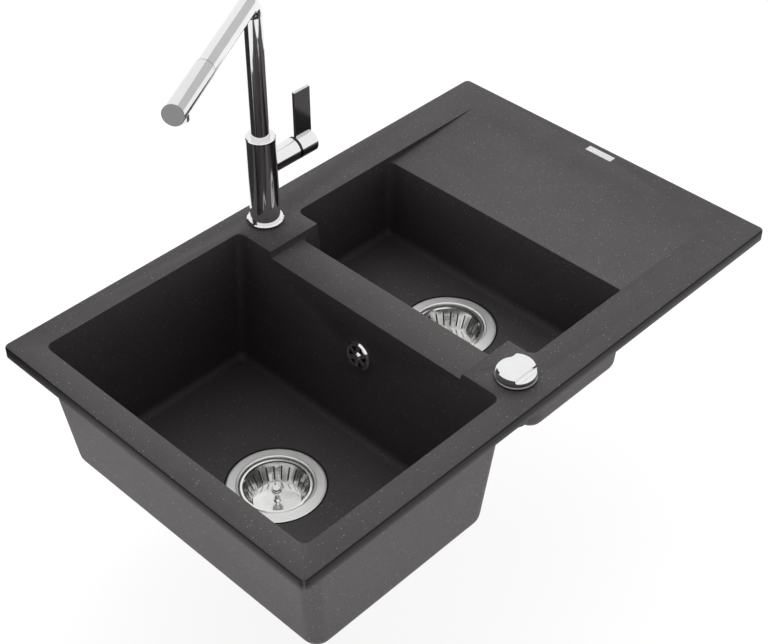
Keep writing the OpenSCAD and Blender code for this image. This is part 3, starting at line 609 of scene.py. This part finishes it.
def seen_directly(tree):
    path = add(tree, "LightPath")
    seen = maths(tree, "MAXIMUM", path.outputs["Is Camera Ray"], path.outputs["Is Glossy Ray"])
    return maths(tree, "MAXIMUM", seen, path.outputs["Is Transmission Ray"])


def make_world():
    world = bpy.data.worlds.new("studio")
    bpy.context.scene.world = world
    world.use_nodes = True
    tree = world.node_tree
    tree.nodes.clear()
    output = tree.nodes.new("ShaderNodeOutputWorld")
    look = add(tree, "TexCoord").outputs["Generated"]
    toward = vector_maths(tree, "DOT_PRODUCT", look, LIGHT_FROM, result="Value")
    lobe = maths(tree, "POWER", maths(tree, "MAXIMUM", toward, 0.0), LIGHT_FOCUS)
    band = ramp(tree, split(tree, look)[2], 0.08, 0.35, AROUND, OVERHEAD)
    strength = maths(tree, "ADD", maths(tree, "MULTIPLY", lobe, BEHIND), band)
    light = add(tree, "Background", {"Color": WHITE, "Strength": strength})
    white = add(tree, "Background", {"Color": WHITE, "Strength": 1.0})
    mix = add(tree, "MixShader", {0: seen_directly(tree), 1: light.outputs[0], 2: white.outputs[0]})
    tree.links.new(mix.outputs[0], output.inputs[0])


make_world()
print("light from", [round(part, 2) for part in LIGHT_FROM])

# %% [markdown]
# ## The light table
# The sink stands on a white table that glows and lights the outer walls from below. A strong
# glow would wipe out the shadow that the camera sees. So the table has two faces: one that
# lights the sink, and one that is seen, a glow just under white with the shadow on top.

# %% Make the light table
TABLE_SIZE = 16
TABLE_GAP = 0.004
TABLE_GLOW = 0.9
SEEN_GLOW = 0.89


def make_floor(height):
    bpy.ops.mesh.primitive_plane_add(size=TABLE_SIZE, location=(0, 0, height))
    floor = bpy.context.object
    floor.name = "floor"
    material, tree, shader = start_material("pale_floor")
    shader.inputs["Base Color"].default_value = (0.80, 0.80, 0.80, 1)
    shader.inputs["Roughness"].default_value = 0.9
    shader.inputs["Emission Color"].default_value = WHITE
    shader.inputs["Emission Strength"].default_value = TABLE_GLOW
    shadow = add(tree, "BsdfDiffuse", {"Color": (0.20, 0.20, 0.20, 1)})
    glow = add(tree, "Emission", {"Color": WHITE, "Strength": SEEN_GLOW})
    seen_floor = add(tree, "AddShader", {0: shadow.outputs[0], 1: glow.outputs[0]})
    faces = {0: seen_directly(tree), 1: shader.outputs[0], 2: seen_floor.outputs[0]}
    mix = add(tree, "MixShader", faces)
    output = [node for node in tree.nodes if node.type == "OUTPUT_MATERIAL"][0]
    tree.links.new(mix.outputs[0], output.inputs[0])
    floor.data.materials.append(material)
    print("table at", round(height, 3))


make_floor(cad_box[0][2] - TABLE_GAP)

# %% [markdown]
# ## Cards for the chrome
# Chrome shows only what stands round it, and in an all white studio it would be all white.
# Photographers put up cards. A black one left of the tap gives the chrome its dark side, and
# a grey one far to the right gives the spout's arm its grey middle between two white lines.
# Only the reflections see them: they throw no shadow and take no light from the stone.

# %% Put up the cards
def make_card(name, place, facing, wide, tall, grey):
    across = Vector((-facing[1], facing[0], 0)).normalized() * (wide / 2)
    foot = Vector(place)
    head = foot + Vector((0, 0, tall))
    corners = [foot - across, foot + across, head + across, head - across]
    card = mesh_object(name, [tuple(corner) for corner in corners], [(0, 1, 2, 3)])
    material, tree, shader = start_material(name)
    shader.inputs["Base Color"].default_value = (0.01, 0.01, 0.01, 1)
    shader.inputs["Roughness"].default_value = 0.9
    shader.inputs["Emission Color"].default_value = WHITE
    shader.inputs["Emission Strength"].default_value = grey
    card.data.materials.append(material)
    card.visible_camera = False
    card.visible_diffuse = False
    card.visible_shadow = False


make_card("black_card", (-0.30, 0.50, cad_box[0][2]), (0.7, -0.7), wide=0.60, tall=0.62, grey=0.0)
make_card("grey_card", (2.95, 0.62, 0.15), (-0.99, -0.14), wide=2.80, tall=2.00, grey=0.60)
bpy.context.scene.view_settings.view_transform = "Standard"
print("cards: 2")
